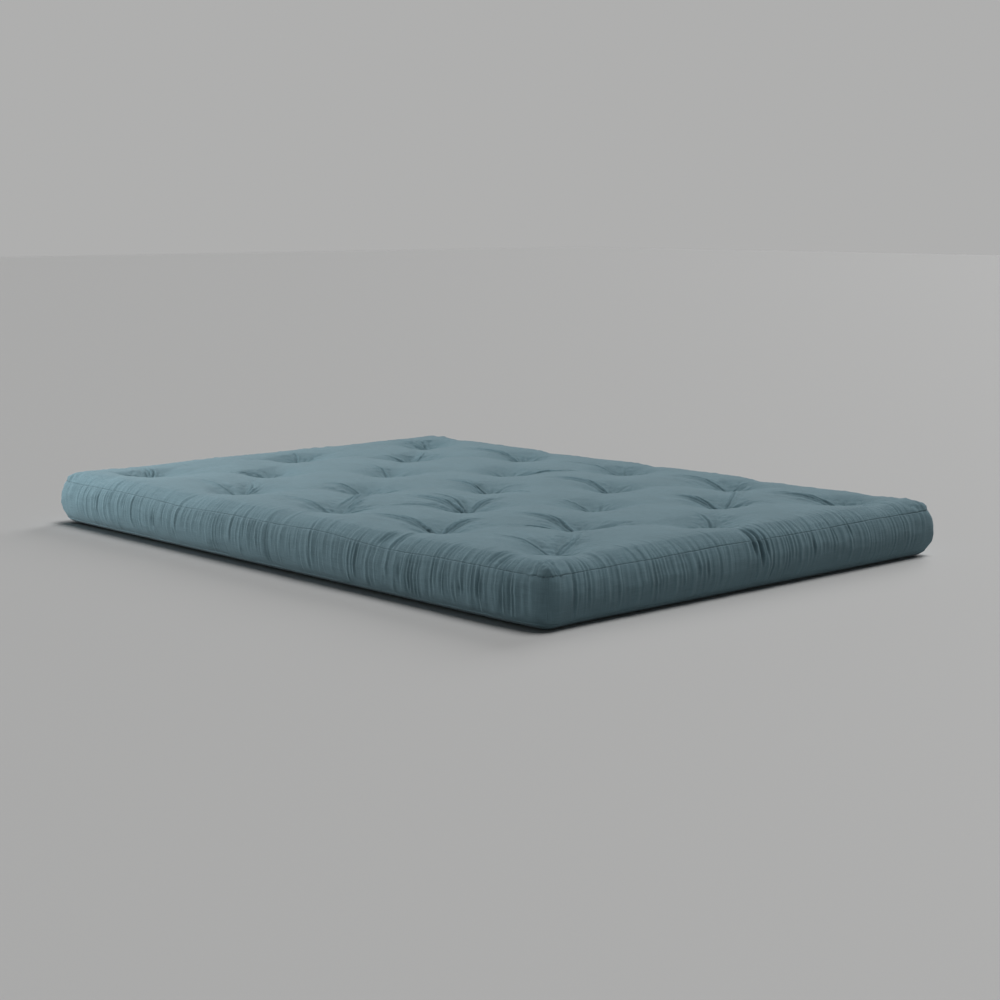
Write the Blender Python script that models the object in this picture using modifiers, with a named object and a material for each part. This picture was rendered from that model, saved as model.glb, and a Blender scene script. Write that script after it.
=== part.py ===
"""Tufted futon mattress: a boxed cotton cover, layered felt and foam filling, and tufting twine.

Metres. The origin is the middle of the underside, +X runs along the length, +Y across the
width and +Z up. Every sub-part is one object, and nothing on a mattress turns or slides.
"""

import math

import bmesh
import bpy

# ---- Driving dimensions ----
HALF_LENGTH = 1.000            # half of the 2.0 m length, at the widest part of the border
HALF_WIDTH = 0.700             # half of the 1.4 m width
CORNER_RADIUS = 0.016          # the cover turns a nearly square corner in plan
HEIGHT = 0.146                 # crown of the pillows between tufts
TOP_SEAM_Z = 0.120             # seam between the top panel and the border
BOTTOM_SEAM_Z = 0.0150         # seam between the bottom panel and the border
TOP_SHOULDER = 0.046           # how far in from the side the top panel becomes flat
BOTTOM_SHOULDER = 0.032        # how far in from the side the bottom panel touches the ground
SHOULDER_POWER = 2.5           # how square the rounded shoulder is (2 would be an ellipse)

FABRIC = 0.0016                # cotton twill with its backing
SEAM_GAP = 0.0017              # half of the slot that each seam's thread lies in
THREAD_RADIUS = 0.0007
BORDER_BULGE = 0.003           # the middle of the border stands this far outside its seams

TUFT_ROWS = 5                  # rows across the width, staggered: 5, 4, 5, 4, 5 tufts
TUFT_COLUMNS = 9               # full and half steps along the length
TUFT_ROW_PITCH = 0.260
TUFT_REACH = 0.830             # the last tufts are this far from the pattern's middle
TUFT_DRIFT = 0.040             # the middle columns were tied this far towards +X
TUFT_SHIFT = 0.018             # and the whole pattern this far
TOP_DIMPLE = 0.028             # depth of a tuft below the crown
BOTTOM_DIMPLE = 0.014
DIMPLE_RADIUS_TOP = 0.115
DIMPLE_RADIUS_BOTTOM = 0.070

STRAND_SPACING = 0.010         # the two strands of one tie
TWINE_RADIUS = 0.0010
NEEDLE_HOLE = 0.0032           # side of the hole that one strand passes through in the cover
NEEDLE_SLIT = (0.0145, 0.0040)  # slit for both strands in a filling layer
KNOT_RADIUS = 0.0024

FIT = 0.0012                   # space between the cover and the filling
PLY_GAP = 0.0004               # space between two filling layers
OUTER_FELT_Z = 0.1085          # underside of the upper outer felt
INNER_FELT_Z = 0.0965          # underside of the upper inner felt
CORE_Z = 0.0450                # underside of the foam core
LOWER_FELT_Z = 0.0300          # underside of the lower inner felt

TEAL = (0.130, 0.214, 0.248, 1.0)
THREAD_TEAL = (0.070, 0.120, 0.138, 1.0)
TWINE_GREY = (0.135, 0.185, 0.200, 1.0)
FELT_WHITE = (0.760, 0.735, 0.670, 1.0)
FOAM_CREAM = (0.800, 0.740, 0.560, 1.0)


# ---- Scene and object helpers ----
def clear_scene():
    for obj in list(bpy.data.objects):
        bpy.data.objects.remove(obj, do_unlink=True)


def new_collection(name, helper=False):
    collection = bpy.data.collections.new(name)
    bpy.context.scene.collection.children.link(collection)
    collection.hide_render = helper
    return collection


def new_material(name, colour, roughness):
    material = bpy.data.materials.new(name)
    material.use_nodes = True
    shader = material.node_tree.nodes["Principled BSDF"]
    shader.inputs["Base Color"].default_value = colour
    shader.inputs["Roughness"].default_value = roughness
    material.diffuse_color = colour
    return material


def add_object(name, data, collection, colour=None, roughness=0.9):
    obj = bpy.data.objects.new(name, data)
    collection.objects.link(obj)
    if colour is not None:
        data.materials.append(new_material(name + "_material", colour, roughness))
    return obj


def mesh_from(name, bm):
    mesh = bpy.data.meshes.new(name)
    bm.to_mesh(mesh)
    bm.free()
    return mesh


# ---- The mattress's own geometry ----
def tuft_points():
    """Plan position of each tuft, row by row."""
    points = []
    for row in range(TUFT_ROWS):
        y = (row - (TUFT_ROWS - 1) / 2) * TUFT_ROW_PITCH
        for column in range(row % 2, TUFT_COLUMNS, 2):
            points.append((column_x(column), y))
    return points


def column_x(column):
    """X of a tuft column: evenly spaced, with the middle ones drifting towards +X."""
    share = 2 * column / (TUFT_COLUMNS - 1) - 1
    return TUFT_REACH * share + TUFT_DRIFT * (1 - share * share) + TUFT_SHIFT


def shoulder(distance, width):
    """0 at the seam and 1 where the panel has become flat."""
    if distance >= width:
        return 1.0
    left = 1 - max(distance, 0.0) / width
    return (1 - left ** SHOULDER_POWER) ** (1 / SHOULDER_POWER)


def dimple(x, y, radius):
    """1 at a tuft, falling smoothly to 0 at the dimple's rim."""
    nearest = min(math.hypot(x - tx, y - ty) for tx, ty in tuft_points())
    if nearest >= radius:
        return 0.0
    return (1 - nearest / radius) ** 2 * (1 + 0.6 * nearest / radius)


def grid_stations(half_size, lattice, steps, shoulder_steps):
    """Grid positions along one axis: close together at both edges, and one on every tuft line."""
    stations = [-half_size + step for step in shoulder_steps]
    for start, end in zip(lattice, lattice[1:]):
        stations += [start + (end - start) * step / steps for step in range(steps)]
    stations.append(lattice[-1])
    return stations + [half_size - step for step in reversed(shoulder_steps)]


def round_corner(x, y, half_length, half_width, radius):
    """Moves a point of the square corner onto the rounded one."""
    a = (abs(x) - (half_length - radius)) / radius
    b = (abs(y) - (half_width - radius)) / radius
    if a <= 0 or b <= 0:
        return x, y
    new_a = a * math.sqrt(1 - b * b / 2)
    new_b = b * math.sqrt(1 - a * a / 2)
    return (
        math.copysign(half_length - radius + radius * new_a, x),
        math.copysign(half_width - radius + radius * new_b, y),
    )


def plan_grid(half_length, half_width, radius, steps, height_of):
    """A sheet over the mattress's plan, with its height from height_of(x, y, edge distance)."""
    edge_steps = (0.0, radius * 0.25, radius, 0.036, 0.075)
    columns = [column_x(i) for i in range(TUFT_COLUMNS)]
    rows = [(i - (TUFT_ROWS - 1) / 2) * TUFT_ROW_PITCH for i in range(TUFT_ROWS)]
    xs = grid_stations(half_length, columns, steps, edge_steps)
    ys = grid_stations(half_width, rows, steps, edge_steps)
    bm = bmesh.new()
    grid = []
    for x in xs:
        line = []
        for y in ys:
            edge = min(half_length - abs(x), half_width - abs(y))
            px, py = round_corner(x, y, half_length, half_width, radius)
            line.append(bm.verts.new((px, py, height_of(x, y, edge))))
        grid.append(line)
    for i in range(len(xs) - 1):
        for j in range(len(ys) - 1):
            cell = (grid[i][j], grid[i + 1][j], grid[i + 1][j + 1], grid[i][j + 1])
            start = (i + j) % 2     # neighbouring cells fold along opposite diagonals
            a, b, c, d = cell[start:] + cell[:start]
            bm.faces.new((a, b, c))
            bm.faces.new((a, c, d))
    return bm


def top_height(seam_z, crown, squeeze=1.0):
    """Height of a sheet that rises over the shoulder and dips at each tuft."""
    def height_of(x, y, edge):
        rise = shoulder(edge, TOP_SHOULDER)
        dip = TOP_DIMPLE * squeeze * dimple(x, y, DIMPLE_RADIUS_TOP)
        return seam_z + (crown - seam_z) * rise - dip
    return height_of


def bottom_height(seam_z, floor):
    """Height of a sheet that falls round the lower edge and lifts at each tuft."""
    def height_of(x, y, edge):
        fall = shoulder(edge, BOTTOM_SHOULDER)
        lift = BOTTOM_DIMPLE * dimple(x, y, DIMPLE_RADIUS_BOTTOM)
        return seam_z + (floor - seam_z) * fall + lift
    return height_of


def flip(bm):
    bmesh.ops.reverse_faces(bm, faces=bm.faces[:])


def close_with_flat_face(bm, z):
    """Drops the sheet's rim to height z and closes it there with one flat face."""
    rim = [edge for edge in bm.edges if edge.is_boundary]
    dropped = bmesh.ops.extrude_edge_only(bm, edges=rim)["geom"]
    for vert in (item for item in dropped if isinstance(item, bmesh.types.BMVert)):
        vert.co.z = z
    lower_rim = [edge for edge in bm.edges if edge.is_boundary]
    bmesh.ops.contextual_create(bm, geom=lower_rim)
    bmesh.ops.recalc_face_normals(bm, faces=bm.faces[:])


def rounded_outline(half_length, half_width, radius, corner_steps=4):
    """Plan points of a rounded rectangle, counter-clockwise, starting in the +X -Y corner."""
    points = []
    corners = ((1, -1, -90), (1, 1, 0), (-1, 1, 90), (-1, -1, 180))
    for side_x, side_y, start in corners:
        centre_x = side_x * (half_length - radius)
        centre_y = side_y * (half_width - radius)
        for step in range(corner_steps + 1):
            angle = math.radians(start + 90 * step / corner_steps)
            points.append((centre_x + radius * math.cos(angle), centre_y + radius * math.sin(angle)))
    return points


# ---- Cover ----
def solidify(obj, thickness):
    modifier = obj.modifiers.new("fabric thickness", "SOLIDIFY")
    modifier.thickness = thickness
    modifier.offset = -1
    modifier.use_even_offset = True


def cut(obj, cutter):
    modifier = obj.modifiers.new("needle holes", "BOOLEAN")
    modifier.operation = "DIFFERENCE"
    modifier.solver = "EXACT"
    modifier.object = cutter


def seam_inset(size):
    """Half size at a seam, where the border is narrowest."""
    return size - BORDER_BULGE


def add_top_panel(parts, cutter):
    bm = plan_grid(seam_inset(HALF_LENGTH), seam_inset(HALF_WIDTH), CORNER_RADIUS, 3,
                   top_height(TOP_SEAM_Z + SEAM_GAP, HEIGHT))
    panel = add_object("top_panel", mesh_from("top_panel", bm), parts, TEAL)
    solidify(panel, FABRIC)
    cut(panel, cutter)


def add_bottom_panel(parts, cutter):
    bm = plan_grid(seam_inset(HALF_LENGTH), seam_inset(HALF_WIDTH), CORNER_RADIUS, 2,
                   bottom_height(BOTTOM_SEAM_Z - SEAM_GAP, 0.0))
    flip(bm)
    panel = add_object("bottom_panel", mesh_from("bottom_panel", bm), parts, TEAL)
    solidify(panel, FABRIC)
    cut(panel, cutter)


def border_path(long_side, sign, corner_steps=3, gap=SEAM_GAP):
    """Plan points along one side, from the middle of one corner to the middle of the next.

    Each point comes with its outward direction. The ends stop short of the corner seam's thread.
    """
    half_run = (HALF_LENGTH if long_side else HALF_WIDTH) - BORDER_BULGE
    half_off = (HALF_WIDTH if long_side else HALF_LENGTH) - BORDER_BULGE
    stop = math.pi / 4 - gap / CORNER_RADIUS
    corner = [(stop * step / corner_steps) for step in range(corner_steps, -1, -1)]
    straight = half_run - CORNER_RADIUS
    path = []
    for angle in corner:
        path.append((-straight - CORNER_RADIUS * math.sin(angle),
                     half_off - CORNER_RADIUS * (1 - math.cos(angle)), -angle))
    for share in (-0.75, -0.5, -0.25, 0, 0.25, 0.5, 0.75):
        path.append((straight * share, half_off, 0.0))
    for angle in reversed(corner):
        path.append((straight + CORNER_RADIUS * math.sin(angle),
                     half_off - CORNER_RADIUS * (1 - math.cos(angle)), angle))
    turned = []
    for run, off, angle in path:
        out_run, out_off = math.sin(angle), math.cos(angle)
        if long_side:
            turned.append((run * -sign, off * sign, out_run * -sign, out_off * sign))
        else:
            turned.append((off * sign, run * sign, out_off * sign, out_run * sign))
    return turned


def add_border(name, parts, long_side, sign):
    """A strip between the two seams, bulging a little, from corner seam to corner seam."""
    low, high = BOTTOM_SEAM_Z + SEAM_GAP, TOP_SEAM_Z - SEAM_GAP
    bm = bmesh.new()
    grid = []
    for share in (0, 0.25, 0.5, 0.75, 1):
        bulge = BORDER_BULGE * (1 - (2 * share - 1) ** 2)
        z = low + (high - low) * share
        grid.append([bm.verts.new((x + bulge * out_x, y + bulge * out_y, z))
                     for x, y, out_x, out_y in border_path(long_side, sign)])
    for lower, upper in zip(grid, grid[1:]):
        for i in range(len(lower) - 1):
            bm.faces.new((lower[i], lower[i + 1], upper[i + 1], upper[i]))
    border = add_object(name, mesh_from(name, bm), parts, TEAL)
    solidify(border, FABRIC)


def add_curve(name, points, radius, parts, colour, closed, sides=1, thicken=None):
    curve = bpy.data.curves.new(name, "CURVE")
    curve.dimensions = "3D"
    curve.bevel_depth = radius
    curve.bevel_resolution = sides
    curve.use_fill_caps = True
    spline = curve.splines.new("POLY")
    spline.points.add(len(points) - 1)
    for i, point in enumerate(points):
        spline.points[i].co = (*point, 1.0)
        spline.points[i].radius = 1.0 if thicken is None else thicken[i]
    spline.use_cyclic_u = closed
    return add_object(name, curve, parts, colour, 0.85)


def add_seam_threads(parts):
    for name, z in (("top_seam_thread", TOP_SEAM_Z), ("bottom_seam_thread", BOTTOM_SEAM_Z)):
        inset = FABRIC / 2
        outline = rounded_outline(seam_inset(HALF_LENGTH) - inset, seam_inset(HALF_WIDTH) - inset,
                                  CORNER_RADIUS - inset, corner_steps=6)
        add_curve(name, [(x, y, z) for x, y in outline], THREAD_RADIUS, parts, THREAD_TEAL, True)
    clear = THREAD_RADIUS * 2 + 0.0006
    for x_name, side_x in (("right", 1), ("left", -1)):
        for y_name, side_y in (("front", -1), ("back", 1)):
            points = []
            for step in range(5):
                share = step / 4
                low, high = BOTTOM_SEAM_Z + clear, TOP_SEAM_Z - clear
                bulge = BORDER_BULGE * (1 - (2 * share - 1) ** 2) - FABRIC / 2
                reach = (CORNER_RADIUS + bulge) * math.sqrt(0.5)
                points.append((side_x * (seam_inset(HALF_LENGTH) - CORNER_RADIUS + reach),
                               side_y * (seam_inset(HALF_WIDTH) - CORNER_RADIUS + reach),
                               low + (high - low) * share))
            add_curve(f"corner_seam_thread_{y_name}_{x_name}", points, THREAD_RADIUS, parts,
                      THREAD_TEAL, False)


# ---- Filling ----
def filling_size(clearance=0.0):
    """Half length, half width and corner radius of the filling inside the borders."""
    inset = BORDER_BULGE + FABRIC + FIT + clearance
    return HALF_LENGTH - inset, HALF_WIDTH - inset, CORNER_RADIUS


def add_outer_felts(parts, cutter):
    half_length, half_width, radius = filling_size()
    drop = FABRIC + FIT
    upper = plan_grid(half_length, half_width, radius, 3,
                      top_height(TOP_SEAM_Z - SEAM_GAP - 0.002, HEIGHT - drop - 0.0006))
    close_with_flat_face(upper, OUTER_FELT_Z)
    lower = plan_grid(half_length, half_width, radius, 2,
                      bottom_height(BOTTOM_SEAM_Z + SEAM_GAP + 0.002, drop + 0.0006))
    close_with_flat_face(lower, LOWER_FELT_Z - PLY_GAP)
    for name, bm in (("upper_felt_outer", upper), ("lower_felt_outer", lower)):
        felt = add_object(name, mesh_from(name, bm), parts, FELT_WHITE, 1.0)
        cut(felt, cutter)


def add_flat_layer(name, low, high, parts, cutter, colour):
    half_length, half_width, radius = filling_size()
    bm = bmesh.new()
    outline = rounded_outline(half_length, half_width, radius)
    face = bm.faces.new([bm.verts.new((x, y, low)) for x, y in outline])
    lifted = bmesh.ops.extrude_face_region(bm, geom=[face])["geom"]
    for vert in (item for item in lifted if isinstance(item, bmesh.types.BMVert)):
        vert.co.z = high
    bmesh.ops.recalc_face_normals(bm, faces=bm.faces[:])
    layer = add_object(name, mesh_from(name, bm), parts, colour, 1.0)
    cut(layer, cutter)


# ---- Tufting ----
def hole_cutter(name, helpers, size_x, size_y, offsets):
    """One helper mesh with a square bar through the mattress for each hole."""
    bm = bmesh.new()
    for x, y in tuft_points():
        for offset in offsets:
            made = bmesh.ops.create_cube(bm, size=1.0)["verts"]
            bmesh.ops.scale(bm, verts=made, vec=(size_x, size_y, 2 * HEIGHT))
            bmesh.ops.translate(bm, verts=made, vec=(x + offset, y, HEIGHT / 2))
    cutter = add_object(name, mesh_from(name, bm), helpers)
    cutter.hide_render = True
    cutter.display_type = "WIRE"
    return cutter


def add_tuft_ties(parts):
    """Each tie is one loop of twine: a short stitch on top, two strands, and a knot below."""
    half = STRAND_SPACING / 2
    turn = TWINE_RADIUS * 1.5
    top = HEIGHT - TOP_DIMPLE + TWINE_RADIUS + 0.0012
    bottom = BOTTOM_DIMPLE - TWINE_RADIUS - 0.0016
    knot = KNOT_RADIUS / TWINE_RADIUS
    loop = (
        (-half, top - turn, 1), (-half + turn * 0.3, top - turn * 0.3, 1), (-half + turn, top, 1),
        (half - turn, top, 1), (half - turn * 0.3, top - turn * 0.3, 1), (half, top - turn, 1),
        (half, bottom + turn, 1), (half - turn * 0.3, bottom + turn * 0.3, 1),
        (KNOT_RADIUS * 0.9, bottom - 0.0006, 1.1), (KNOT_RADIUS * 0.45, bottom - 0.0012, knot),
        (-KNOT_RADIUS * 0.45, bottom - 0.0012, knot), (-KNOT_RADIUS * 0.9, bottom - 0.0006, 1.1),
        (-half + turn * 0.3, bottom + turn * 0.3, 1), (-half, bottom + turn, 1),
    )
    for number, (x, y) in enumerate(tuft_points(), start=1):
        points = [(x + dx, y, z) for dx, z, _ in loop]
        add_curve(f"tuft_tie_{number:02d}", points, TWINE_RADIUS, parts, TWINE_GREY, True,
                  thicken=[size for _, _, size in loop])


def main():
    clear_scene()
    parts = new_collection("futon_mattress")
    helpers = new_collection("cutters", helper=True)
    half = STRAND_SPACING / 2
    needle_holes = hole_cutter("needle_holes", helpers, NEEDLE_HOLE, NEEDLE_HOLE, (-half, half))
    needle_slits = hole_cutter("needle_slits", helpers, *NEEDLE_SLIT, (0.0,))

    add_top_panel(parts, needle_holes)
    add_bottom_panel(parts, needle_holes)
    add_border("border_front", parts, long_side=True, sign=-1)
    add_border("border_back", parts, long_side=True, sign=1)
    add_border("border_left", parts, long_side=False, sign=-1)
    add_border("border_right", parts, long_side=False, sign=1)
    add_seam_threads(parts)

    add_outer_felts(parts, needle_slits)
    add_flat_layer("upper_felt_inner", INNER_FELT_Z + PLY_GAP, OUTER_FELT_Z - PLY_GAP, parts,
                   needle_slits, FELT_WHITE)
    add_flat_layer("foam_core", CORE_Z + PLY_GAP, INNER_FELT_Z, parts, needle_slits, FOAM_CREAM)
    add_flat_layer("lower_felt_inner", LOWER_FELT_Z, CORE_Z, parts, needle_slits, FELT_WHITE)
    add_tuft_ties(parts)


main()
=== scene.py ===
"""Looks of the tufted futon mattress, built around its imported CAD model.

Metres, in the part's own frame: the origin is the middle of the underside, +X runs along the
length, +Y across the width and +Z up.
"""

import math

import bpy
import numpy as np
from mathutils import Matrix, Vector


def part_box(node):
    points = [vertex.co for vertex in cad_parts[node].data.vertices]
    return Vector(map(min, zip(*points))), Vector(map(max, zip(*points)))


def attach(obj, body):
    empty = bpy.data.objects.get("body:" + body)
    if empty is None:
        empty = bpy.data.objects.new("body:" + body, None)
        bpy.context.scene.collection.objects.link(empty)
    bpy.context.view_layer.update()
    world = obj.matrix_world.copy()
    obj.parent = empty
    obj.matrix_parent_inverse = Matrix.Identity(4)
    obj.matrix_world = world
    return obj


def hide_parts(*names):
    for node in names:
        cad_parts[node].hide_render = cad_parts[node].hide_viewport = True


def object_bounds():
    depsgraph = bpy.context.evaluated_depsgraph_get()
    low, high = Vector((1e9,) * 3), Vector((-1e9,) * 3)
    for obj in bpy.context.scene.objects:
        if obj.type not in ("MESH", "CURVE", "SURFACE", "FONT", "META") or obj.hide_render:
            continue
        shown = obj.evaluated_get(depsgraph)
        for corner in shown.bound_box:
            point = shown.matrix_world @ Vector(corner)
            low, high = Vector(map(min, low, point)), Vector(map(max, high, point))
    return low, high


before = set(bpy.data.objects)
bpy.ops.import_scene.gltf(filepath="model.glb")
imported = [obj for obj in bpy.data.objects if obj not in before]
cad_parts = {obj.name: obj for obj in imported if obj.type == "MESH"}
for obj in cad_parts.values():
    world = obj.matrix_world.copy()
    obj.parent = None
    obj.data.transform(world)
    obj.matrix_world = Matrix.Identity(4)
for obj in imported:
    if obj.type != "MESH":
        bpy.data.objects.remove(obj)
CAD_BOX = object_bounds()

# ---- Sizes, taken from the CAD model where it has them ----
HALF_LENGTH = CAD_BOX[1][0]
HALF_WIDTH = CAD_BOX[1][1]
CROWN = CAD_BOX[1][2]                 # height of the pillows between tufts
PROFILE_INSET = 0.044                 # how far the rounded side reaches in over the top
PROFILE_POWER = 2.5
SEAM_TOP = 0.120
SEAM_BOTTOM = 0.0145
CORNER_RADIUS = 0.029                 # in plan, at the top seam
LOW_CORNER_RADIUS = 0.016             # and at the bottom seam
WORN_CORNER_RADIUS = 0.040            # the same at the corner that is handled most
CORNER_SWELL = 0.014                  # how much squarer the corners are at half height
WORN_SWELL = -0.002                   # and the worn one
WORN_SHIFT = (0.0085, 0.0090)         # how far the worn corner has been pushed along X and Y
WORN_REACH = 0.075
BORDER_HEIGHT = SEAM_TOP - SEAM_BOTTOM
TUFT_COUNT = 23


def tuft_places():
    places = []
    for number in range(1, TUFT_COUNT + 1):
        low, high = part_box(f"tuft_tie_{number:02d}")
        places.append(((low[0] + high[0]) / 2, (low[1] + high[1]) / 2))
    return np.array(places)


TUFTS = tuft_places()
COLUMNS = np.unique(np.round(TUFTS[:, 0], 4))
ROWS = np.unique(np.round(TUFTS[:, 1], 4))
TWINE = 0.0010
PIT_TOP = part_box("tuft_tie_01")[1][2] - 2 * TWINE - 0.0003     # cloth under the top stitch
PIT_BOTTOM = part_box("tuft_tie_01")[0][2] + 0.0052              # cloth above the knot
SIDES = ("front", "right", "back", "left")
LONG_SIDES = ("front", "back")

# ---- The pillows between the tufts ----
PILLOW_TOP = 0.0275                   # rise from the top seam to the top of a pillow
STEEP_SHARE, STEEP_REACH = 0.52, 0.010    # the roll just inside the seam
EASY_REACH = 0.042                    # the slower rise after it
NOSE_SHARE, NOSE_REACH = 0.28, 0.045      # the corners roll over more steeply
NOSE_LIFT = 0.0050                        # and the worn one stands a little higher
PIT_DEPTH, PIT_REACH = 0.006, 0.012       # the funnel at a tuft
DISH_DEPTH, DISH_REACH = 0.0270, 0.068    # the wide dish round it
VALLEY_DEPTH, VALLEY_WIDTH = 0.0050, 0.042    # the valleys from tuft to tuft
NEIGHBOURS = (0.25, 0.37)             # how far apart two neighbouring tufts can be
VALLEY_SHARES = (0.5, 1.4)            # how much of the depth one valley has
SEAM_VALLEY_SHARE = 1.3               # and one that runs out to a seam
TALLEST, ABOVE_KEPT = 0.145, 0.45     # what rises above this height keeps a share of its rise
SEAM_WAVE_REACH = 0.06                # how far in the seam's rise and fall is felt
GROOVE_DEPTH, GROOVE_WIDTH = 0.0003, 0.0014

# ---- Mesh fineness ----
SIM_STEP = 0.010
SIM_ROWS = 10
PANEL_STEP = 0.0025
BLOCK = 4                             # steps to the side of one face where the panel is smooth
BORDER_STEP = 0.0017
BORDER_ROWS = 27
UNDERSIDE_STEP = 0.012
# Distances in from an edge, where the grid's lines lie closer together:
EDGE_STEPS = (0, .0022, .0045, .007, .0095, .012, .015, .018, .0215, .025, .029, .0335, .038,
              .043, .0485, .0545, .061, .068, .0755, .084)
FILLING_STEP = 0.025
FILLING_EDGE_STEPS = (0, .004, .010, .020)
FEW_EDGE_STEPS = (0, .003, .006, .010, .015, .021, .028, .036)
SIM_EDGE_STEPS = (0, .006, .012, .019, .027, .036)
BUSY_LIFT = 0.00035                   # a block whose folds differ by more is kept fine
BUSY_REACH = 0.035                    # and so is one this close to a tuft

# ---- Cloth ----
SIM_FRAMES = 20
FULLNESS = 0.030                      # spare cloth, as a share of the panel's size
PRESSURE = 1.0
HOLD = 0.06                           # how firmly the filling holds the cloth in place
UNEVEN = 0.0006                       # how far points start from their places
COVER_CLEARANCE = 0.011               # from the felt up to the cover's deepest folds
CLOTH_COLOUR = (.130, .214, .248)


# ---- The mattress's outline ----
def inset_at(z):
    """How far the side is in from its widest point at height z."""
    level = np.clip(np.abs(2 * np.asarray(z, float) / CROWN - 1), 0, 1)
    return PROFILE_INSET * (1 - (1 - level ** PROFILE_POWER) ** (1 / PROFILE_POWER))


SEAM_HALF_X = HALF_LENGTH - float(inset_at(SEAM_TOP))
SEAM_HALF_Y = HALF_WIDTH - float(inset_at(SEAM_TOP))


def smoothstep(t):
    t = np.clip(t, 0, 1)
    return t * t * (3 - 2 * t)


def hill(x, centre, width):
    return np.exp(-((x - centre) / width) ** 2)


def rim_of(grid):
    """The outermost row of a grid, once round."""
    return np.concatenate([grid[:-1, 0], grid[-1, :-1], grid[:0:-1, -1], grid[0, :0:-1]])


def all_cells(index):
    return np.stack([index[:-1, :-1], index[1:, :-1], index[1:, 1:], index[:-1, 1:]], axis=2)


def add_object(name, data):
    obj = bpy.data.objects.new(name, data)
    bpy.context.scene.collection.objects.link(obj)
    return obj


def shoulder(distance, seam_z):
    """Share of the rise from the seam to the flat, at a distance in from the seam."""
    reach = np.clip((PROFILE_INSET - inset_at(seam_z) - distance) / PROFILE_INSET, 0, 1)
    level = (1 - reach ** PROFILE_POWER) ** (1 / PROFILE_POWER)
    seam_level = abs(2 * seam_z / CROWN - 1)
    return np.clip((level - seam_level) / (1 - seam_level), 0, 1)


def stations(half, lines, step, edge_steps):
    """Grid positions across a panel: dense over the shoulders, and one on every line of tufts."""
    edge = np.array(edge_steps)
    fixed = np.concatenate([[-half + edge[-1]], lines, [half - edge[-1]]])
    found = [-half + edge[:-1]]
    for start, end in zip(fixed, fixed[1:]):
        count = BLOCK * max(1, int(round((end - start) / step / BLOCK)))
        found.append(start + (end - start) * np.arange(count) / count)
    return np.concatenate(found + [fixed[-1:], (half - edge[:-1])[::-1]])


def round_corner(x, y, half_x, half_y, radius):
    """Moves the square corner's points onto the rounded corner."""
    a = np.clip((np.abs(x) - (half_x - radius)) / radius, 0, 1)
    b = np.clip((np.abs(y) - (half_y - radius)) / radius, 0, 1)
    shift_x = a * (np.sqrt(1 - b ** 2 / 2) - 1) * radius
    shift_y = b * (np.sqrt(1 - a ** 2 / 2) - 1) * radius
    return x + np.sign(x) * shift_x, y + np.sign(y) * shift_y


def tuft_distance(x, y):
    return np.min([np.hypot(x - tx, y - ty) for tx, ty in TUFTS], axis=0)


def seam_wave(side, s):
    """Slow rise and fall of the top seam along each side."""
    if side == "front":
        wave = (-.0050 * hill(s, -.37, .12) - .0055 * hill(s, .48, .13)
                + .0045 * hill(s, .21, .11) + .0015 * hill(s, -.72, .14))
        half = HALF_LENGTH
    elif side == "right":
        wave = .0030 * hill(s, -.14, .14) + .0018 * hill(s, .42, .16)
        half = HALF_WIDTH
    elif side == "back":
        wave = .0030 * np.sin(7.1 * s + .4) + .0018 * np.sin(15.3 * s + 1.9)
        half = HALF_LENGTH
    else:
        wave = .0028 * np.sin(8.3 * s + 2.2) + .0014 * np.sin(17.9 * s)
        half = HALF_WIDTH
    return wave * smoothstep((half - np.abs(s)) / .15)


# ---- The cover before its cloth is let go ----
def rise_from_seam(distance, steep):
    distance = np.maximum(distance, 0)
    return (1 - steep * np.exp(-distance / STEEP_REACH)
            - (1 - steep) * np.exp(-distance / EASY_REACH))


def valleys():
    """Lines that the stitching pulls down: between neighbouring tufts, and out to the seams."""
    rng = np.random.default_rng(3)
    lines = []
    for i, a in enumerate(TUFTS):
        for b in TUFTS[i + 1:]:
            if NEIGHBOURS[0] < np.hypot(*(b - a)) < NEIGHBOURS[1]:
                lines.append((a, b, rng.uniform(*VALLEY_SHARES)))
        if abs(a[1]) > ROWS[-1] - .01:
            seam = np.array([a[0], math.copysign(SEAM_HALF_Y, a[1])])
            lines.append((a, seam, SEAM_VALLEY_SHARE))
        if abs(a[0]) > COLUMNS[-1] - .01:
            seam = np.array([math.copysign(SEAM_HALF_X, a[0]), a[1]])
            lines.append((a, seam, SEAM_VALLEY_SHARE))
    return lines


def along_line(x, y, a, b):
    """Position along a line as a share of its length, and the distance to its left."""
    length = np.hypot(*(b - a))
    way = (b - a) / length
    return (((x - a[0]) * way[0] + (y - a[1]) * way[1]) / length,
            (y - a[1]) * way[0] - (x - a[0]) * way[1])


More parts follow.
